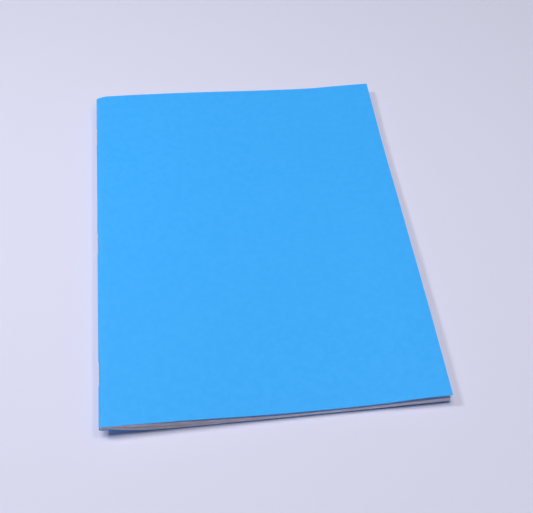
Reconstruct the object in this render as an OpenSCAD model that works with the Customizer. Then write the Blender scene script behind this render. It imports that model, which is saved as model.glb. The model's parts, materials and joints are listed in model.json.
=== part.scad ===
// Stapled exercise book: a folded card cover, nested folded sheets and three wire staples.
// It lies closed on its back cover. +X runs from spine to fore-edge, +Y to the head, +Z up.
// The spine has sprung up off the table, and the sheets sag from it until they lie flat.

/* [Book] */
// Height of the closed book, from tail to head
book_h = 279.4; // [200:0.1:320]
// Width of the closed book, from the back of the spine to the fore-edge
book_w = 215.9; // [180:0.1:240]

/* [Cover] */
// Thickness of the cover card
cover_t = 0.28; // [0.2:0.02:0.44]

/* [Sheets] */
// Number of folded sheets, each giving two leaves
sheet_count = 12; // [6:1:16]
// Thickness of the paper
paper_t = 0.1; // [0.07:0.01:0.14]
// Air between nested folds
fold_gap = 0.02; // [0.02:0.01:0.06]
// Distance from the cover's edges in to the leaves' edges
leaf_inset = 0.4; // [0.2:0.1:2]

/* [Staples] */
// Diameter of the staple wire
wire_d = 0.6; // [0.4:0.05:0.8]
// Width of a staple over its two legs
crown_w = 12.7; // [9:0.1:16]
// Gap between a staple's two clinched ends inside the centre fold
clinch_gap = 2.5; // [0.5:0.1:6]
// Distance from the tail to the middle of the nearest staple
tail_inset = 36.6; // [15:0.1:80]
// Distance from the head to the middle of the nearest staple
head_inset = 41.7; // [15:0.1:80]
// Clearance round the wire, in its holes and in the centre fold
wire_gap = 0.1; // [0.05:0.01:0.2]

/* [Hinging] */
// Clearance from the fixed folds and staples to the parts that turn
turn_gap = 0.3; // [0.2:0.05:0.6]

/* [Lie of the sheets] */
// Height of the spine's underside above the table
spine_lift = 7.1; // [4:0.1:10]
// Air between two leaves where the block lies flat
leaf_air = 0.03; // [0.02:0.005:0.12]
// Air between the last leaf and the back cover where they lie flat
back_air = 0.12; // [0.1:0.02:1]
// Air between the first leaf and the front cover where they lie flat
front_air = 4; // [1:0.1:6]
// Height that the front cover curls up at the fore-edge
cover_curl = 2.8; // [0:0.1:5]
// Height that the first leaf curls up at the fore-edge
first_curl = 2.2; // [0:0.1:3]
// Height that the last leaf curls up at the fore-edge
last_curl = 0.9; // [0:0.1:2]

/* [Hidden] */
// Straight strips that a sagging sheet is drawn with, and how fast they widen from the spine
strips = 14;
strip_growth = 1.6;
$fn = 64;

// Fold: nested half rounds about one axis, the innermost one round the clinched wire
channel_r = wire_d + wire_gap;
sheet_step = paper_t + fold_gap;
cover_in_r = channel_r + sheet_count * sheet_step;
spine_r = cover_in_r + cover_t;
crown_gap = 0.02;
crown_r = spine_r + crown_gap + wire_d / 2;
fixed_r = crown_r + wire_d / 2;
turn_r = fixed_r + turn_gap;
axis_z = spine_lift + spine_r;
fore_x = book_w - spine_r;
leaf_end_x = fore_x - leaf_inset;
leaf_h = book_h - 2 * leaf_inset;
centre_x = (fore_x - fixed_r) / 2;

// Where each part of the stack lies flat, from the hinge axis, and how early it drops to that:
// at 1 it comes down in a straight line, and above 1 it drops sooner than that
back_flat_x = 60;
back_drop = 3.5;
middle_flat_x = 90;
middle_drop = 2.4;
block_flat_x = 115;
block_drop = 1.3;
cover_flat_x = 135;
curl_x = 145;

// Heights of the middle of each thickness where the stack lies flat
leaf_step = paper_t + leaf_air;
last_leaf_z = cover_t + back_air + paper_t / 2;
leaf_count = 2 * sheet_count;
first_leaf_z = last_leaf_z + (leaf_count - 1) * leaf_step;
front_cover_z = first_leaf_z + paper_t / 2 + front_air + cover_t / 2;
mid_front_z = last_leaf_z + sheet_count * leaf_step;
mid_back_z = mid_front_z - leaf_step;
mid_curl = (first_curl + last_curl) / 2;

// Names: a number of two digits, counted from the outermost sheet
function two_digits(n) = n < 10 ? str("0", n) : str(n);
function sheet_name(n, piece) = str("sheet_", two_digits(n), "_", piece);
SHEET_PIECES = ["fold", "front_leaf", "back_leaf"];
STAPLES = ["staple_tail", "staple_middle", "staple_head"];

// Share of the way from start to end, from 0 to 1, and the same as a smooth step
function way(x, start, end) = min(1, max(0, (x - start) / (end - start)));
function ease(x, start, end) = let (u = way(x, start, end)) u * u * (3 - 2 * u);

// Height of a leaf at x: its level at the fold, dropping to its level lying flat, and the curl
function dropped(x, fold_z, flat_z, flat_x, drop, curl) =
    fold_z + (flat_z - fold_z) * (1 - pow(1 - way(x, turn_r, flat_x), drop))
        + curl * ease(x, curl_x, fore_x);

// Middle radius of sheet n's fold
function fold_r(n) = channel_r + (sheet_count - n) * sheet_step + paper_t / 2;

// Outermost and innermost leaves of the two halves, and sheet n's leaves shared out between
function share(n) = (sheet_count - n) / (sheet_count - 1);
function front_leaf_z(x, n) =
    let (inner = dropped(x, axis_z + fold_r(sheet_count), mid_front_z, middle_flat_x, middle_drop, mid_curl))
    let (outer = dropped(x, axis_z + fold_r(1), first_leaf_z, block_flat_x, block_drop, first_curl))
    inner + (outer - inner) * share(n);
function back_leaf_z(x, n) =
    let (inner = dropped(x, axis_z - fold_r(sheet_count), mid_back_z, middle_flat_x, middle_drop, mid_curl))
    let (outer = dropped(x, axis_z - fold_r(1), last_leaf_z, back_flat_x, back_drop, last_curl))
    inner + (outer - inner) * share(n);

// The front cover, which is stiffer and bows down, and the back cover, by the middle of the card
card_r = cover_in_r + cover_t / 2;
function front_cover_at(x) =
    let (top = axis_z + card_r)
    top + (front_cover_z - top) * ease(x, turn_r, cover_flat_x) + cover_curl * ease(x, curl_x, fore_x);
function back_cover_at(x) = dropped(x, axis_z - card_r, cover_t / 2, back_flat_x, back_drop, 0);

// Distances from the hinge axis at which every sheet's outline has points, the last at its edge
function stations(end_x) =
    concat([for (i = [0:strips - 1]) turn_r + (fore_x - turn_r) * pow(i / strips, strip_growth)], [end_x]);
function start_x(radius, z) = sqrt(pow(radius, 2) - pow(z - axis_z, 2));

// A sheet's outline: its middle line moved half a thickness up, and back half a thickness down
function outline(line, thickness) = concat(
    [for (p = line) [p[0], p[1] + thickness / 2]],
    [for (i = [len(line) - 1:-1:0]) [line[i][0], line[i][1] - thickness / 2]]
);

// Sets the hinge axis over the frame's origin line and extrudes a side view along the spine
module along_spine(length) {
    translate([-centre_x, 0, 0])
        rotate([90, 0, 0])
            linear_extrude(height = length, center = true) children();
}

// Half round fold in side view, open towards the fore-edge, with two short straight ends
module fold_2d(inner_r, thickness) {
    end_x = start_x(fixed_r, axis_z + inner_r + thickness);
    translate([0, axis_z]) {
        intersection() {
            difference() {
                circle(inner_r + thickness);
                circle(inner_r);
            }
            translate([-2 * spine_r, -2 * spine_r]) square([2 * spine_r, 4 * spine_r]);
        }
        for (side = [-1, 1])
            translate([0, side > 0 ? inner_r : -inner_r - thickness]) square([end_x, thickness]);
    }
}

// Holes for the legs of all the staples, through the back of the spine
module leg_holes() {
    for (i = [0:len(STAPLES) - 1]) for (side = [-1, 1])
        translate([-centre_x - fixed_r, staple_y(i) + side * leg_y, axis_z])
            rotate([0, 90, 0]) cylinder(d = wire_d + 2 * wire_gap, h = fixed_r);
}

// Places of the staples and their legs along the spine
leg_y = (crown_w - wire_d) / 2;
clinch_l = leg_y - clinch_gap / 2;
staple_span = book_h - tail_inset - head_inset;
function staple_y(i) = tail_inset - book_h / 2 + staple_span * i / (len(STAPLES) - 1);

// Back panel and spine of the cover card, in one piece
module cover_back() {
    sloping = [for (x = stations(fore_x)) if (x < back_flat_x) x];
    line = concat(
        [[start_x(fixed_r, axis_z - spine_r) / 2, axis_z - card_r]],
        [for (x = sloping) [x, back_cover_at(x)]],
        [[back_flat_x, cover_t / 2], [fore_x, cover_t / 2]]
    );
    color("deepskyblue")
        difference() {
            union() {
                along_spine(book_h) fold_2d(cover_in_r, cover_t);
                along_spine(book_h) polygon(outline(line, cover_t));
            }
            leg_holes();
        }
}

// Front panel of the cover card, which turns about the spine
module cover_front() {
    z = axis_z + card_r;
    line = concat([[start_x(turn_r, z), z]], [for (x = stations(fore_x)) [x, front_cover_at(x)]]);
    color("dodgerblue") along_spine(book_h) polygon(outline(line, cover_t));
}

// Fold of sheet n, held by the staples
module sheet_fold(n) {
    color("gainsboro")
        difference() {
            along_spine(leaf_h) fold_2d(fold_r(n) - paper_t / 2, paper_t);
            leg_holes();
        }
}

// Leaf in front of sheet n's fold
module front_leaf(n) {
    z = axis_z + fold_r(n);
    line = concat([[start_x(turn_r, z), z]], [for (x = stations(leaf_end_x)) [x, front_leaf_z(x, n)]]);
    color("white") along_spine(leaf_h) polygon(outline(line, paper_t));
}

// Leaf behind sheet n's fold
module back_leaf(n) {
    z = axis_z - fold_r(n);
    line = concat([[start_x(turn_r, z), z]], [for (x = stations(leaf_end_x)) [x, back_leaf_z(x, n)]]);
    color("snow") along_spine(leaf_h) polygon(outline(line, paper_t));
}

// Wire staple: crown outside the spine, two legs through it, ends clinched towards each other
module staple(y) {
    inner_x = -channel_r + wire_gap / 2 + wire_d / 2;
    color("silver")
        translate([-centre_x, y, axis_z]) {
            translate([-crown_r, 0, 0]) rotate([90, 0, 0]) cylinder(d = wire_d, h = 2 * leg_y, center = true);
            for (side = [-1, 1]) {
                translate([-crown_r, side * leg_y, 0]) {
                    sphere(d = wire_d);
                    rotate([0, 90, 0]) cylinder(d = wire_d, h = crown_r + inner_x);
                }
                translate([inner_x, side * leg_y, 0]) {
                    sphere(d = wire_d);
                    rotate([side * 90, 0, 0]) cylinder(d = wire_d, h = clinch_l);
                }
            }
        }
}

cover_back();
cover_front();
for (n = [1:sheet_count]) {
    sheet_fold(n);
    front_leaf(n);
    back_leaf(n);
}
for (i = [0:len(STAPLES) - 1]) {
    staple(staple_y(i));
}
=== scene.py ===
import json
import math

import bpy
import numpy as np
from mathutils import Matrix, Vector


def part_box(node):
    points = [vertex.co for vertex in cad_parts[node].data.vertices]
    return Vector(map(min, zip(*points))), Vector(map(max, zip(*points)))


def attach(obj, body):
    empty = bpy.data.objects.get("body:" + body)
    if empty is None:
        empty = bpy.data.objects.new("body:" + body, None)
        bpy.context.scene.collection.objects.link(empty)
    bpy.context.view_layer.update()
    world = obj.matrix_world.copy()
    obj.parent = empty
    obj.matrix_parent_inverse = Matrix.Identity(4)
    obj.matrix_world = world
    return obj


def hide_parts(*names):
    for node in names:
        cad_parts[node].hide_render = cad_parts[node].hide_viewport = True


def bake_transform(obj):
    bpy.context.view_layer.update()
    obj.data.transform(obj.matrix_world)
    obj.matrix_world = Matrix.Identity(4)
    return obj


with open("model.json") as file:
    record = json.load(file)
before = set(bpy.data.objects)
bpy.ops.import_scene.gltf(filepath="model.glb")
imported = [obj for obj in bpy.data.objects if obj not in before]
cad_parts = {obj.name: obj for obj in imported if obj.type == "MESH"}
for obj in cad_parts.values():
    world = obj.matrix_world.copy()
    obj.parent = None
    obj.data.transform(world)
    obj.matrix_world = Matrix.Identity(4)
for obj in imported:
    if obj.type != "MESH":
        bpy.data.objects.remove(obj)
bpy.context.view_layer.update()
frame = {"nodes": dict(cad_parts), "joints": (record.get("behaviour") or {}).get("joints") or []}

mm = 0.001

# The table, the light and the camera.
# The book lies closed on a pale table under an even light from overhead, with a small soft lamp at
# each side and a broad weak one far in front. The camera looks down on it from the tail side, at
# the photograph's own angle.

photo_width_px = 533
focal_length_px = 836.9
camera_place = Vector((-0.05291, -0.35542, 0.47284))
camera_aim = Vector((0.0077, -0.0170, 0))
camera_roll = math.radians(3.88)
sensor_width = 36
camera_data = bpy.data.cameras.new("camera")
camera_data.sensor_width = sensor_width
camera_data.lens = focal_length_px / photo_width_px * sensor_width
camera = bpy.data.objects.new("camera", camera_data)
bpy.context.scene.collection.objects.link(camera)
turn = (camera_aim - camera_place).to_track_quat("-Z", "Y").to_matrix().to_4x4()
camera.matrix_world = Matrix.Translation(camera_place) @ turn @ Matrix.Rotation(camera_roll, 4, "Z")
bpy.context.scene.camera = camera
bpy.context.scene.view_settings.view_transform = "Standard"


def aimed_lamp(name, kind, place, power):
    """A lamp at place, in metres, that faces the middle of the book."""
    data = bpy.data.lights.new(name, kind)
    data.energy = power
    lamp = bpy.data.objects.new(name, data)
    facing = Vector(place).to_track_quat("Z", "Y")
    lamp.matrix_world = Matrix.Translation(place) @ facing.to_matrix().to_4x4()
    bpy.context.scene.collection.objects.link(lamp)
    return data


def soft_lamp(name, place, size, power):
    """A square lamp of the given side, in metres."""
    aimed_lamp(name, "AREA", place, power).size = size


overhead = aimed_lamp("overhead_light", "SUN", (-0.16, 0.16, 1.3), 1.43)
overhead.angle = math.radians(22)
soft_lamp("front_lamp", (-0.45, -2.4, 2.85), 1.4, 8)
soft_lamp("left_lamp", (-0.46, 0.07, 0.70), 0.16, 2.35)
soft_lamp("right_lamp", (0.27, -0.08, 0.81), 0.11, 1.3)

# The room adds only a little light. The eye and reflections see it evenly pale.
room_light = 0.05
pale_backdrop = 0.85
world = bpy.data.worlds.new("room")
world.use_nodes = True
room = world.node_tree
path = room.nodes.new("ShaderNodeLightPath")
seen = room.nodes.new("ShaderNodeMath")
seen.operation = "MAXIMUM"
room.links.new(path.outputs["Is Camera Ray"], seen.inputs[0])
room.links.new(path.outputs["Is Glossy Ray"], seen.inputs[1])
strength = room.nodes.new("ShaderNodeMix")
room.links.new(seen.outputs[0], strength.inputs[0])
strength.inputs[2].default_value = room_light
strength.inputs[3].default_value = pale_backdrop
backdrop = room.nodes["Background"]
backdrop.inputs["Color"].default_value = (0.96, 0.96, 1.0, 1)
room.links.new(strength.outputs[0], backdrop.inputs["Strength"])
bpy.context.scene.world = world

table_size = 6.0
table_colour = (0.70, 0.70, 0.86, 1)
table_mesh = bpy.data.meshes.new("table")
corner = table_size / 2
table_mesh.from_pydata(
    [(-corner, -corner, 0), (corner, -corner, 0), (corner, corner, 0), (-corner, corner, 0)],
    [],
    [(0, 1, 2, 3)],
)
table = bpy.data.objects.new("table", table_mesh)
bpy.context.scene.collection.objects.link(table)
table_finish = bpy.data.materials.new("pale_table")
table_finish.use_nodes = True
table_coat = table_finish.node_tree.nodes["Principled BSDF"]
table_coat.inputs["Base Color"].default_value = table_colour
table_coat.inputs["Roughness"].default_value = 0.9
table_coat.inputs["Specular IOR Level"].default_value = 0.1
table_mesh.materials.append(table_finish)

# The cover card: back panel and spine.
# One sheet of smooth blue card, 0.28 mm thick, folded round the backs of all the paper sheets.
# Only its spine and back panel are here, because the front panel turns. The spine has sprung up
# off the table, so the back panel slopes down from it, and each staple pinches a dimple in it.

joints = {joint["name"]: joint for joint in frame["joints"]}
hinge_x, _, hinge_z = joints["leaf_24_turn"]["pos_m"]
card_low, card_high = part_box("cover_back")
card_thickness = 0.28 * mm
card_radius = hinge_x - card_low.x - card_thickness / 2
bump_depth = 1.8 * mm
bump_start = hinge_x - 2.4 * mm
bump_end = hinge_x + 6 * mm
bump_length = 13 * mm
staple_names = ("staple_tail", "staple_middle", "staple_head")
staple_boxes = [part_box(name) for name in staple_names]
staple_middles = [(low.y + high.y) / 2 for low, high in staple_boxes]
crown_width = staple_boxes[1][1].y - staple_boxes[1][0].y
pinch_depth = 0.55 * mm
pinch_fade = 4 * mm
seam_radius = 3.19 * mm
past_spine = 3.2 * mm
panel_steps = 90
step_to_panel = 0.7 * mm


def node_corners(node):
    """All the corners of a CAD node's mesh, in metres, as an array of three columns."""
    mesh = frame["nodes"][node].data
    flat = np.empty(len(mesh.vertices) * 3, np.float32)
    mesh.vertices.foreach_get("co", flat)
    return flat.reshape(-1, 3).astype(float)


def node_line(node, nearest=0.0):
    """The side view of a CAD sheet: x of each of its stations, and the mean of the highest and the
    lowest corner there, from the given distance past the hinge axis to the fore-edge."""
    corners = node_corners(node)
    tail_end = corners[corners[:, 1] < corners[:, 1].min() + 0.01 * mm]
    tail_end = tail_end[tail_end[:, 0] > hinge_x + nearest]
    at_x, station = np.unique(np.round(tail_end[:, 0], 6), return_inverse=True)
    highest = np.full(len(at_x), -np.inf)
    lowest = np.full(len(at_x), np.inf)
    np.maximum.at(highest, station, tail_end[:, 2])
    np.minimum.at(lowest, station, tail_end[:, 2])
    return at_x, (highest + lowest) / 2


def smooth_line(x, at_x, at_z):
    """Height at x on a smooth curve through the stations: between two stations it is the cubic
    that has their heights and slopes. The slope at a station is the harmonic mean of the slopes of
    the straight lines to its two neighbours, or level where those differ in sign."""
    line_slope = np.diff(at_z) / np.diff(at_x)
    before, after = line_slope[:-1], line_slope[1:]
    rising_on = before * after > 0
    total = np.where(rising_on, before + after, 1)
    middle_slope = np.where(rising_on, 2 * before * after / total, 0)
    slope = np.concatenate([[line_slope[0]], middle_slope, [line_slope[-1]]])
    left = np.clip(np.searchsorted(at_x, x) - 1, 0, len(at_x) - 2)
    width = at_x[left + 1] - at_x[left]
    u = (x - at_x[left]) / width
    rise = at_z[left] * (2 * u**3 - 3 * u**2 + 1) + at_z[left + 1] * (3 * u**2 - 2 * u**3)
    lean = slope[left] * (u**3 - 2 * u**2 + u) + slope[left + 1] * (u**3 - u**2)
    return rise + width * lean


def ease(x, start, end):
    """Smooth step: 0 before start, 1 after end, and 3u^2 - 2u^3 between them."""
    u = np.clip((x - start) / (end - start), 0, 1)
    return u * u * (3 - 2 * u)


def bumped(middle):
    """The same surface with the book's head corner at the spine bumped round: y goes down by the
    bump's depth times two smooth steps, one towards the spine and one towards the head."""
    near_spine = 1 - ease(middle[:, :, 0], bump_start, bump_end)
    near_head = ease(middle[:, :, 1], card_high.y - bump_length, card_high.y)
    moved = middle.copy()
    moved[:, :, 1] -= bump_depth * near_spine * near_head
    return moved


def sheet_mesh(name, middle, thickness, along, across):
    """A closed slab of even thickness about a middle surface, an array of rows along the sheet by
    columns across it by x, y, z. Each point moves half the thickness to both sides along the cross
    product of the two grid directions. The attribute on_sheet keeps where a point is on the flat
    sheet (along and across it, in metres) and which side it is on, 1 for upper and -1 for lower."""
    middle = bumped(middle)
    rows, columns = middle.shape[:2]
    normal = np.cross(np.gradient(middle, axis=0), np.gradient(middle, axis=1))
    normal /= np.linalg.norm(normal, axis=2, keepdims=True)
    upper = middle + normal * thickness / 2
    lower = middle - normal * thickness / 2
    points = np.concatenate([upper.reshape(-1, 3), lower.reshape(-1, 3)])
    count = rows * columns
    index = np.arange(count).reshape(rows, columns)
    a, b, c, d = index[:-1, :-1], index[1:, :-1], index[1:, 1:], index[:-1, 1:]
    top = np.stack([a, b, c, d], axis=-1).reshape(-1, 4)
    bottom = np.stack([d, c, b, a], axis=-1).reshape(-1, 4) + count
    rim = np.concatenate([index[:, 0], index[-1, 1:], index[-2::-1, -1], index[0, -2:0:-1]])
    after = np.roll(rim, -1)
    wall = np.stack([rim, rim + count, after + count, after], axis=-1)
    faces = np.concatenate([top, bottom, wall])
    mesh = bpy.data.meshes.new(name)
    mesh.vertices.add(len(points))
    mesh.vertices.foreach_set("co", points.astype(np.float32).ravel())
    mesh.loops.add(faces.size)
    mesh.loops.foreach_set("vertex_index", faces.astype(np.int32).ravel())
    mesh.polygons.add(len(faces))
    mesh.polygons.foreach_set("loop_start", np.arange(0, faces.size, 4, dtype=np.int32))
    mesh.update(calc_edges=True)
    smooth = np.ones(len(faces), bool)
    smooth[-len(wall):] = False
    mesh.polygons.foreach_set("use_smooth", smooth)

    # The edges along both rims are sharp. They are the ones that join neighbours on one rim.
    place_on_rim = np.full(2 * count, -2 * count)
    place_on_rim[rim] = np.arange(len(rim))
    place_on_rim[rim + count] = np.arange(len(rim)) + 4 * count
    ends = np.empty(2 * len(mesh.edges), np.int32)
    mesh.edges.foreach_get("vertices", ends)
    first, second = place_on_rim[ends[::2]], place_on_rim[ends[1::2]]
    apart = np.abs(first - second)
    sharp = (first >= 0) & (second >= 0) & ((apart == 1) | (apart == len(rim) - 1))
    mesh.edges.foreach_set("use_edge_sharp", sharp)

    side = np.repeat([1.0, -1.0], count)
    place = np.stack([np.tile(along.ravel(), 2), np.tile(across.ravel(), 2), side], axis=-1)
    on_sheet = mesh.attributes.new("on_sheet", "FLOAT_VECTOR", "POINT")
    on_sheet.data.foreach_set("vector", place.astype(np.float32).ravel())
    piece = bpy.data.objects.new(name, mesh)
    bpy.context.scene.collection.objects.link(piece)
    return piece


def pinch(y):
    """How far a staple's crown has pressed the folds in at y: the full depth over most of the crown,
    eased out to nothing a little past both of its ends."""
    depth = np.zeros_like(y)
    for middle in staple_middles:
        past_crown = np.abs(y - middle) - crown_width / 2
        depth = np.maximum(depth, 1 - ease(past_crown, -pinch_fade / 3, pinch_fade))
    return pinch_depth * depth


def folded(radius, end_x, y, arc_steps=28, straight_steps=3):
    """A fold in side view: straight in from end_x above the hinge axis, a half round of the given
    radius about the axis, and straight out to end_x below it, carried along y. Each staple pinches
    the half round in, most at its back. Gives the surface and the length along it."""
    straight = np.linspace(end_x, 0, straight_steps, endpoint=False)
    angle = np.linspace(math.pi / 2, 3 * math.pi / 2, arc_steps)
    x = np.concatenate([straight, radius * np.cos(angle), straight[::-1]])
    z = np.concatenate([radius + 0 * straight, radius * np.sin(angle), -radius + 0 * straight])
    back = np.clip(-x / radius, 0, 1) ** 1.5
    x_grid = hinge_x + x[:, None] + back[:, None] * pinch(y)[None, :]
    z_grid = hinge_z + z[:, None] + 0 * y[None, :]
    y_grid = y[None, :] + 0 * x[:, None]
    length = np.concatenate([[0], np.cumsum(np.hypot(np.diff(x), np.diff(z)))])
    return np.stack([x_grid, y_grid, z_grid], axis=-1), length


def spine_rows(low_y, high_y, coarse=60, fine=26):
    """Places along the spine: even steps from tail to head, and closer ones round each staple and
    at the bumped corner."""
    even = np.linspace(low_y, high_y, coarse)
    bump = np.linspace(high_y - bump_length, high_y, 9)
    reach = crown_width / 2 + pinch_fade
    close = [np.linspace(middle - reach, middle + reach, fine) for middle in staple_middles]
    return np.unique(np.round(np.concatenate([even, bump, *close]), 6))


def seam(radius):
    """How far past the hinge axis a fold of this radius ends, on a circle just outside the staples."""
    return math.sqrt(seam_radius**2 - radius**2)


card_y = spine_rows(card_low.y, card_high.y)[::-1]
spine_part, spine_length = folded(card_radius, seam(card_radius), card_y)
spine_part = spine_part[:-1]
spine_length = spine_length[:-1]
back_x, back_z = node_line("cover_back", nearest=past_spine)
back_x = np.concatenate([[hinge_x], back_x])
back_z = np.concatenate([[hinge_z - card_radius], back_z])
panel_start = hinge_x + seam(card_radius)
panel_x = np.linspace(panel_start, card_high.x, panel_steps)
panel_z = smooth_line(panel_x, back_x, back_z)
panel_part = np.stack(
    [panel_x[:, None] + 0 * card_y, card_y + 0 * panel_x[:, None], panel_z[:, None] + 0 * card_y], axis=-1
)
card_middle = np.concatenate([spine_part, panel_part])
panel_length = spine_length[-1] + step_to_panel + panel_x - panel_start
card_length = np.concatenate([spine_length, panel_length])
cover_back = sheet_mesh(
    "cover_back_card",
    card_middle,
    card_thickness,
    card_length[:, None] + 0 * card_y,
    card_y + 0 * card_length[:, None],
)


def shader_node(tree, kind, inputs=None, **settings):
    """Adds a node, with its settings. Each input is given a value, or another node's output."""
    made = tree.nodes.new(kind)
    for name, value in settings.items():
        setattr(made, name, value)
    for key, value in (inputs or {}).items():
        if isinstance(value, bpy.types.NodeSocket):
            tree.links.new(value, made.inputs[key])
        else:
            made.inputs[key].default_value = value
    return made


def figure(tree, operation, *values):
    """The output of a Math node that works on the given values or outputs."""
    return shader_node(tree, "ShaderNodeMath", dict(enumerate(values)), operation=operation).outputs[0]


def blended(tree, share, first, second):
    """A colour that goes from the first to the second as share, a value or an output, goes 0 to 1."""
    made = shader_node(tree, "ShaderNodeMix", {0: share, 6: first, 7: second}, data_type="RGBA")
    return made.outputs[2]


def stepped(tree, value, low, high, to_low=0.0, to_high=1.0):
    """Value carried smoothly from the span low..high to the span to_low..to_high, and held there."""
    inputs = {"Value": value, "From Min": low, "From Max": high, "To Min": to_low, "To Max": to_high}
    return shader_node(tree, "ShaderNodeMapRange", inputs, interpolation_type="SMOOTHSTEP").outputs[0]


def noise(tree, place, size, detail=2.0, distortion=0.0):
    """The value, 0 to 1, of a noise whose lumps are about size metres wide."""
    inputs = {"Vector": place, "Scale": 1 / size, "Detail": detail, "Distortion": distortion}
    return shader_node(tree, "ShaderNodeTexNoise", inputs).outputs[0]


def group_with(name, inputs, outputs):
    """An empty shader group with named sockets, and its input and output nodes."""
    group = bpy.data.node_groups.new(name, "ShaderNodeTree")
    for socket, kind in inputs.items():
        group.interface.new_socket(socket, in_out="INPUT", socket_type=kind)
    for socket, kind in outputs.items():
        group.interface.new_socket(socket, in_out="OUTPUT", socket_type=kind)
    return group, group.nodes.new("NodeGroupInput"), group.nodes.new("NodeGroupOutput")


# Felted fibres, for the card and the paper: soft clouds where the pulp lies thicker, fine matted
# fibres, and the small relief that they leave on the surface.
felt, felt_in, felt_out = group_with(
    "felted_fibres",
    {"Place": "NodeSocketVector", "Cloud Scale": "NodeSocketFloat",
     "Fibre Scale": "NodeSocketFloat", "Relief": "NodeSocketFloat"},
    {"Cloud": "NodeSocketFloat", "Fibre": "NodeSocketFloat", "Normal": "NodeSocketVector"},
)
cloud_inputs = {"Vector": felt_in.outputs["Place"], "Scale": felt_in.outputs["Cloud Scale"]}
cloud = shader_node(felt, "ShaderNodeTexNoise", {**cloud_inputs, "Detail": 3.0})
fibre_inputs = {"Vector": felt_in.outputs["Place"], "Scale": felt_in.outputs["Fibre Scale"]}
matted = shader_node(felt, "ShaderNodeTexNoise", {**fibre_inputs, "Detail": 5.0, "Distortion": 1.6})
finer = figure(felt, "MULTIPLY", felt_in.outputs["Fibre Scale"], 3.1)
strands = shader_node(
    felt, "ShaderNodeTexNoise", {"Vector": felt_in.outputs["Place"], "Scale": finer, "Distortion": 3.0}
)
height = figure(felt, "ADD", matted.outputs[0], figure(felt, "MULTIPLY", strands.outputs[0], 0.5))
relief = shader_node(
    felt, "ShaderNodeBump", {"Strength": 1.0, "Distance": felt_in.outputs["Relief"], "Height": height}
)
felt.links.new(stepped(felt, cloud.outputs[0], 0.3, 0.7), felt_out.inputs["Cloud"])
felt.links.new(stepped(felt, matted.outputs[0], 0.3, 0.7), felt_out.inputs["Fibre"])
felt.links.new(relief.outputs[0], felt_out.inputs["Normal"])


def felted(tree, cloud_size, fibre_size, relief_height):
    """The felted fibres on a sheet, by its on_sheet attribute: the group node and that attribute's
    three parts, which are the places along and across the sheet and the side. The side counts for
    a millimetre, so that the two faces differ."""
    place = shader_node(tree, "ShaderNodeAttribute", attribute_name="on_sheet")
    flat = shader_node(
        tree, "ShaderNodeVectorMath", {0: place.outputs["Vector"], 1: (1, 1, mm)}, operation="MULTIPLY"
    )
    used = shader_node(tree, "ShaderNodeGroup", node_tree=felt)
    tree.links.new(flat.outputs[0], used.inputs["Place"])
    used.inputs["Cloud Scale"].default_value = 1 / cloud_size
    used.inputs["Fibre Scale"].default_value = 1 / fibre_size
    used.inputs["Relief"].default_value = relief_height
    parts = shader_node(tree, "ShaderNodeSeparateXYZ", {0: place.outputs["Vector"]})
    return used, parts


# Blue card: dyed pulp in soft clouds with paler flecks. A painted highlight makes it paler in patches
# along the rounded spine, where light falls on the fold, and it is rubbed a little paler in patches along
# the head and tail edges.
deep_blue = (0.030, 0.382, 0.935, 1)
light_blue = (0.040, 0.405, 0.955, 1)
fleck_blue = (0.06, 0.44, 0.97, 1)
highlight_and_worn_blue = (0.30, 0.62, 0.95, 1)
spine_middle = 5.8 * mm
card_finish = bpy.data.materials.new("blue_card")
card_finish.use_nodes = True
tree = card_finish.node_tree
coat = tree.nodes["Principled BSDF"]
fibres, where = felted(tree, 5 * mm, 0.45 * mm, 0.028 * mm)
dyed = blended(tree, fibres.outputs["Cloud"], deep_blue, light_blue)
fleck = figure(tree, "MULTIPLY", fibres.outputs["Fibre"], 0.45)
dyed = blended(tree, fleck, dyed, fleck_blue)
from_middle = figure(tree, "ABSOLUTE", figure(tree, "SUBTRACT", where.outputs[0], spine_middle))
# Painted highlight: the card is made paler near the middle of the spine's rounding, where light falls on
# it.
near_spine = stepped(tree, from_middle, 2 * mm, 5 * mm, 1, 0)
from_end = figure(tree, "SUBTRACT", card_high.y, figure(tree, "ABSOLUTE", where.outputs[1]))
near_end = stepped(tree, from_end, 0.1 * mm, 1.2 * mm, 0.6, 0)
highlight_and_rubbed = figure(tree, "MAXIMUM", near_spine, near_end)
on_card = shader_node(tree, "ShaderNodeAttribute", attribute_name="on_sheet")
patches = stepped(tree, noise(tree, on_card.outputs["Vector"], 1.2 * mm, 5.0), 0.45, 0.7)
# The paler blue is the painted spine highlight together with the real rubbing along the head and tail
# edges.
highlight_and_wear = figure(tree, "MULTIPLY", figure(tree, "MULTIPLY", highlight_and_rubbed, patches), 0.16)
dyed = blended(tree, highlight_and_wear, dyed, highlight_and_worn_blue)
tree.links.new(dyed, coat.inputs["Base Color"])
tree.links.new(stepped(tree, fibres.outputs["Fibre"], 0, 1, 0.72, 0.58), coat.inputs["Roughness"])
tree.links.new(fibres.outputs["Normal"], coat.inputs["Normal"])
coat.inputs["Specular IOR Level"].default_value = 0.25
cover_back.data.materials.append(card_finish)
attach(cover_back, "spine")
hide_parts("cover_back")

# The paper sheets: folds.
# Twelve sheets of 80 gram writing paper, each folded once and nested in the one outside it. A fold
# is the half round of one sheet's back, held by the staples, up to where its two leaves turn.

paper_thickness = 0.1 * mm
sheet_count = sum(name.endswith("_fold") for name in frame["nodes"])

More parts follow.
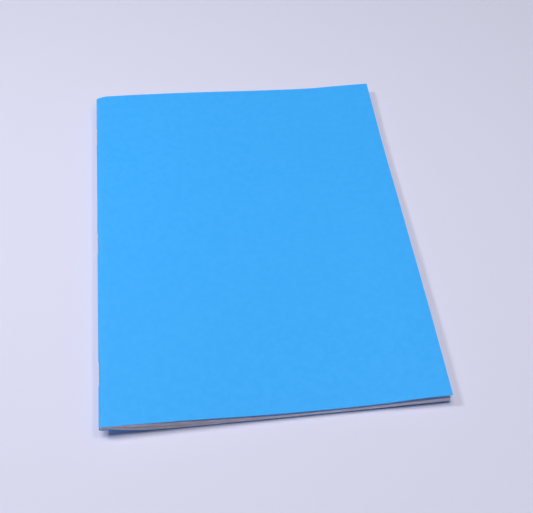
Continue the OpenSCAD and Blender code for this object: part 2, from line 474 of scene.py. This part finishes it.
# Writing paper: pale pulp in soft clouds, with blue feint lines and a red margin on both faces.
thin_pulp = (0.88, 0.82, 0.90, 1)
thick_pulp = (0.92, 0.86, 0.94, 1)
pale_fibre = (0.93, 0.89, 0.95, 1)
feint_ink = (0.30, 0.47, 0.70, 1)
margin_ink = (0.70, 0.20, 0.25, 1)
leaf_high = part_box("sheet_01_front_leaf")[1]
leaf_width = leaf_high.x - hinge_x
line_pitch = 8 * mm
first_line = 26 * mm
line_count = 30
margin = 32 * mm
ink_stop = 1 * mm
paper_finish = bpy.data.materials.new("writing_paper")
paper_finish.use_nodes = True
tree = paper_finish.node_tree
coat = tree.nodes["Principled BSDF"]
fibres, where = felted(tree, 9 * mm, 0.3 * mm, 0.008 * mm)
pulp = blended(tree, fibres.outputs["Cloud"], thin_pulp, thick_pulp)
pulp = blended(tree, figure(tree, "MULTIPLY", fibres.outputs["Fibre"], 0.25), pulp, pale_fibre)
down_page = figure(tree, "SUBTRACT", leaf_high.y - first_line, where.outputs[1])
in_lines = figure(tree, "DIVIDE", down_page, line_pitch)
to_line = figure(tree, "ABSOLUTE", figure(tree, "SUBTRACT", in_lines, figure(tree, "ROUND", in_lines)))
feint = stepped(tree, to_line, 0.010, 0.022, 1, 0)
ruled = figure(tree, "MULTIPLY", feint, figure(tree, "GREATER_THAN", in_lines, -0.5))
ruled = figure(tree, "MULTIPLY", ruled, figure(tree, "LESS_THAN", in_lines, line_count + 0.5))
on_face = figure(tree, "GREATER_THAN", figure(tree, "ABSOLUTE", where.outputs[2]), 0.999)
past_fold = figure(tree, "GREATER_THAN", where.outputs[0], 1.5 * mm)
off_trim = figure(tree, "LESS_THAN", figure(tree, "ABSOLUTE", where.outputs[1]), leaf_high.y - ink_stop)
on_page = figure(tree, "MULTIPLY", figure(tree, "MULTIPLY", on_face, past_fold), off_trim)
printed = figure(tree, "MULTIPLY", ruled, figure(tree, "MULTIPLY", on_page, 0.75))
inks = blended(tree, printed, pulp, feint_ink)
upper_side = figure(tree, "GREATER_THAN", where.outputs[2], 0)
margin_place = stepped(tree, upper_side, 0, 1, leaf_width - margin, margin)
to_margin = figure(tree, "ABSOLUTE", figure(tree, "SUBTRACT", where.outputs[0], margin_place))
margin_line = figure(tree, "MULTIPLY", stepped(tree, to_margin, 0.1 * mm, 0.2 * mm, 0.7, 0), on_page)
inks = blended(tree, margin_line, inks, margin_ink)
tree.links.new(inks, coat.inputs["Base Color"])
tree.links.new(stepped(tree, fibres.outputs["Fibre"], 0, 1, 0.85, 0.75), coat.inputs["Roughness"])
tree.links.new(fibres.outputs["Normal"], coat.inputs["Normal"])
coat.inputs["Specular IOR Level"].default_value = 0.25

for number in range(1, sheet_count + 1):
    cad_fold = f"sheet_{number:02d}_fold"
    fold_low, fold_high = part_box(cad_fold)
    fold_radius = hinge_x - fold_low.x - paper_thickness / 2
    fold_y = spine_rows(fold_low.y, fold_high.y, coarse=40, fine=20)
    fold_middle, fold_length = folded(fold_radius, seam(fold_radius), fold_y)
    fold = sheet_mesh(
        cad_fold + "_paper",
        fold_middle,
        paper_thickness,
        -fold_length[:, None] + 0 * fold_y,
        fold_y + 0 * fold_length[:, None],
    )
    fold.data.materials.append(paper_finish)
    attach(fold, "spine")
    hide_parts(cad_fold)

# The paper sheets: leaves.
# Each sheet gives one leaf before the centre fold and one after it. They sag from the lifted spine
# until they lie flat, a hair of air apart, and their edges were trimmed together. They are drawn a
# little thicker than the folds, which narrows the dark gaps between them.

random = np.random.default_rng(11)
cockle_height = 0.1 * mm
cockle_start = hinge_x + 20 * mm
cockle_full = hinge_x + 70 * mm
cockle_along = 71 * mm
cockle_across = 93 * mm
cockle_cross = 0.6
cockle_settled = 0.8
cockle_drift = 0.04
trim_spread = 0.06 * mm
spring_apart = 0.55 * mm
spring_rises = (3 * mm, 15 * mm)
spring_falls = (30 * mm, 85 * mm)
leaf_thickness = 0.118 * mm
bend_columns = 22
flat_columns = 44
leaf_rows = 48


def sheet_steps(start, end):
    """Places along a sheet from its seam to its edge: close together where it bends as it turns."""
    past_bend = hinge_x + 10 * mm
    bent = np.linspace(start, past_bend, bend_columns, endpoint=False)
    return np.concatenate([bent, np.linspace(past_bend, end, flat_columns)])


def leaf_surface(node, order):
    """The middle surface of one leaf: the CAD sheet's line carried along the spine, the two halves
    of the block sprung apart a little near the fold, plus a low cockle, two crossing sine waves
    that fade towards the spine and towards the table. Order counts the leaves from the top."""
    at_x, at_z = node_line(node)
    low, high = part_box(node)
    start = hinge_x + seam(abs(at_z[0] - hinge_z))
    x = sheet_steps(start, high.x + random.uniform(-1, 0) * trim_spread)
    z = np.where(x < at_x[0], at_z[0], smooth_line(np.maximum(x, at_x[0]), at_x, at_z))
    y = np.linspace(low.y, high.y, leaf_rows) + random.uniform(-0.5, 0.5) * trim_spread
    phase = cockle_drift * order
    wave = np.sin(2 * math.pi * (x[:, None] / cockle_along + y[None, :] / cockle_across) + phase)
    cross_wave = np.sin(2 * math.pi * (x[:, None] / cockle_across - y[None, :] / cockle_along) + 2 * phase)
    from_spine = ease(x, cockle_start, cockle_full)[:, None]
    from_table = 1 - cockle_settled * order / (2 * sheet_count - 1)
    cockle = cockle_height * from_table * from_spine * (wave + cockle_cross * cross_wave)
    from_fold = x - hinge_x
    spring = spring_apart * ease(from_fold, *spring_rises) * (1 - ease(from_fold, *spring_falls))
    from_centre = order - (sheet_count - 0.5)
    spring *= math.copysign(1, -from_centre) * (1 - abs(from_centre) / sheet_count)
    z_grid = (z + spring)[:, None] + cockle
    return x, y, np.stack([x[:, None] + 0 * y, y + 0 * x[:, None], z_grid], axis=-1)


leaf_names = [f"sheet_{number:02d}_front_leaf" for number in range(1, sheet_count + 1)]
leaf_names += [f"sheet_{number:02d}_back_leaf" for number in range(sheet_count, 0, -1)]
for order, node_name in enumerate(leaf_names):
    leaf_x, leaf_y, leaf_middle = leaf_surface(node_name, order)
    leaf = sheet_mesh(
        node_name + "_paper",
        leaf_middle,
        leaf_thickness,
        leaf_x[:, None] - hinge_x + 0 * leaf_y,
        leaf_y + 0 * leaf_x[:, None],
    )
    leaf.data.materials.append(paper_finish)
    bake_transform(leaf)
    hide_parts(node_name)

# The cover card: front panel.
# The other half of the card. It bows down off the spine, lies well above the block because the
# card is stiffer than the paper, and curls up along the fore-edge. Its head half rides higher.

front_x, front_z = node_line("cover_front")
front_low, front_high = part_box("cover_front")
front_start = hinge_x + seam(card_radius)
fine_end = hinge_x + 12 * mm
fine_columns = 26
even_columns = 150
front_rows = 110
fore_start = 150 * mm
fore_end = 214 * mm
even_x = np.linspace(front_start, front_high.x, even_columns)
fine_x = np.linspace(front_start, fine_end, fine_columns, endpoint=False)
x = np.concatenate([fine_x, even_x[even_x > fine_end]])
y = np.linspace(front_low.y, front_high.y, front_rows)
x_grid, y_grid = np.meshgrid(x, y, indexing="ij")
z = np.where(x < front_x[0], front_z[0], smooth_line(np.maximum(x, front_x[0]), front_x, front_z))
from_hinge = x - hinge_x
up_page = (y - front_low.y) / (front_high.y - front_low.y)

# How far the panel's tail edge, head edge and fore-edge each rise from the even bow, by the distance
# from the hinge axis, or for the fore-edge by the share of the way from tail to head.
tail_x = np.array([0, 2, 5, 15, 60, 90, 112, 165, 200, 214]) * mm
tail_up = np.array([0, 0, 0, -0.15, -0.5, -1.1, -1.2, -1.15, 0.1, 0.2]) * mm
head_x = np.array([0, 4, 28, 96, 134, 175, 214]) * mm
head_up = np.array([0, 0, 0.35, 1.7, 1.3, 0.1, 0.4]) * mm
fore_share = np.array([0, 0.21, 0.45, 0.76, 1])
fore_up = np.array([-0.4, 0.15, -0.5, -2.0, -0.6]) * mm
tail_rise = smooth_line(from_hinge, tail_x, tail_up)
head_rise = smooth_line(from_hinge, head_x, head_up)
fore_rise = smooth_line(up_page, fore_share, fore_up)
rise = tail_rise[:, None] * (1 - up_page) + head_rise[:, None] * up_page
rise += ease(from_hinge, fore_start, fore_end)[:, None] * fore_rise
front_middle = np.stack([x_grid, y_grid, z[:, None] + rise], axis=-1)
cover_front = sheet_mesh("cover_front_card", front_middle, card_thickness, front_start - x_grid, y_grid)
cover_front.data.materials.append(card_finish)
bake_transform(cover_front)
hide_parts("cover_front")

# The staples.
# Three lengths of drawn steel wire, 0.6 mm thick. Each crown lies outside the spine, its legs go
# through all the folds, and their ends are clinched towards each other inside the centre fold.

wire_radius = 0.3 * mm
bend_radius = 0.45 * mm
clinch = 4.8 * mm
clinch_bend = 0.4 * clinch
dip = 0.25 * mm
dark_steel = (0.50, 0.50, 0.51, 1)
bright_steel = (0.74, 0.74, 0.76, 1)
brown_tarnish = (0.36, 0.34, 0.32, 1)
steel = bpy.data.materials.new("drawn_steel_wire")
steel.use_nodes = True
tree = steel.node_tree
coat = tree.nodes["Principled BSDF"]
on_wire = shader_node(tree, "ShaderNodeAttribute", attribute_name="on_wire")
drawn = shader_node(
    tree, "ShaderNodeVectorMath", {0: on_wire.outputs["Vector"], 1: (0.04, 1, 1)}, operation="MULTIPLY"
)
scratches = noise(tree, drawn.outputs[0], 0.12 * mm, 3.0)
tarnish = stepped(tree, noise(tree, on_wire.outputs["Vector"], 1.5 * mm, 4.0), 0.35, 0.75)
metal = blended(tree, scratches, dark_steel, bright_steel)
metal = blended(tree, figure(tree, "MULTIPLY", tarnish, 0.3), metal, brown_tarnish)
tree.links.new(metal, coat.inputs["Base Color"])
tree.links.new(stepped(tree, scratches, 0.2, 0.8, 0.26, 0.42), coat.inputs["Roughness"])
draw_lines = shader_node(
    tree, "ShaderNodeBump", {"Strength": 0.6, "Distance": 0.01 * mm, "Height": scratches}
)
tree.links.new(draw_lines.outputs[0], coat.inputs["Normal"])
coat.inputs["Metallic"].default_value = 1.0


def rounded_path(corners, radius, arc_steps=9):
    """A path through the corners with each inner corner rounded: the arc starts and ends where its
    circle touches the two straight stretches, and its points turn evenly from one to the other."""
    points = [corners[0]]
    for before, at, after in zip(corners[:-2], corners[1:-1], corners[2:]):
        into = (before - at) / np.linalg.norm(before - at)
        out = (after - at) / np.linalg.norm(after - at)
        half = math.acos(np.clip(into @ out, -1, 1)) / 2
        centre = at + (into + out) / np.linalg.norm(into + out) * radius / math.sin(half)
        first = at + into * radius / math.tan(half) - centre
        last = at + out * radius / math.tan(half) - centre
        turned = math.pi - 2 * half
        share = np.linspace(0, 1, arc_steps)[:, None]
        arc = (first * np.sin((1 - share) * turned) + last * np.sin(share * turned)) / math.sin(turned)
        points.extend(centre + arc)
    points.append(corners[-1])
    return np.array(points)


def wire_mesh(name, path, radius, sides=14):
    """A round wire along a path that lies in a level plane. Each ring stands square to the path, its
    points are radius times cosine and sine along the level normal and straight up, and both cut
    ends are closed. The attribute on_wire keeps the length along it and the place round it."""
    along = np.gradient(path, axis=0)
    along /= np.linalg.norm(along, axis=1, keepdims=True)
    up = np.array([0.0, 0.0, 1.0])
    level = np.cross(along, up)
    angle = np.linspace(0, 2 * math.pi, sides, endpoint=False)
    ring = level[:, None] * np.cos(angle)[None, :, None] + up * np.sin(angle)[None, :, None]
    points = (path[:, None] + radius * ring).reshape(-1, 3)
    index = np.arange(len(points)).reshape(len(path), sides)
    after = np.roll(index, -1, axis=1)
    wall = np.stack([index[:-1], after[:-1], after[1:], index[1:]], axis=-1).reshape(-1, 4)
    faces = wall.tolist() + [index[0][::-1].tolist(), index[-1].tolist()]
    mesh = bpy.data.meshes.new(name)
    mesh.from_pydata(points.tolist(), [], faces)
    smooth = np.ones(len(faces), bool)
    smooth[-2:] = False
    mesh.polygons.foreach_set("use_smooth", smooth)
    length = np.concatenate([[0], np.cumsum(np.linalg.norm(np.diff(path, axis=0), axis=1))])
    across = np.tile(radius * np.cos(angle), len(path))
    upward = np.tile(radius * np.sin(angle), len(path))
    place = np.stack([np.repeat(length, sides), across, upward], axis=-1)
    on_wire_values = mesh.attributes.new("on_wire", "FLOAT_VECTOR", "POINT")
    on_wire_values.data.foreach_set("vector", place.astype(np.float32).ravel())
    piece = bpy.data.objects.new(name, mesh)
    bpy.context.scene.collection.objects.link(piece)
    return piece


for name, (staple_low, staple_high), middle in zip(staple_names, staple_boxes, staple_middles):
    leg = (staple_high.y - staple_low.y) / 2 - wire_radius
    crown_x = staple_low.x + wire_radius + pinch_depth
    clinch_x = staple_high.x - wire_radius + pinch_depth
    corners = [
        (clinch_x - dip, middle - leg + clinch, hinge_z),
        (clinch_x, middle - leg + clinch_bend, hinge_z),
        (clinch_x, middle - leg, hinge_z),
        (crown_x, middle - leg, hinge_z),
        (crown_x, middle + leg, hinge_z),
        (clinch_x, middle + leg, hinge_z),
        (clinch_x, middle + leg - clinch_bend, hinge_z),
        (clinch_x - dip, middle + leg - clinch, hinge_z),
    ]
    staple = wire_mesh(name + "_wire", rounded_path(np.array(corners), bend_radius), wire_radius)
    staple.data.materials.append(steel)
    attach(staple, "spine")
    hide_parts(name)
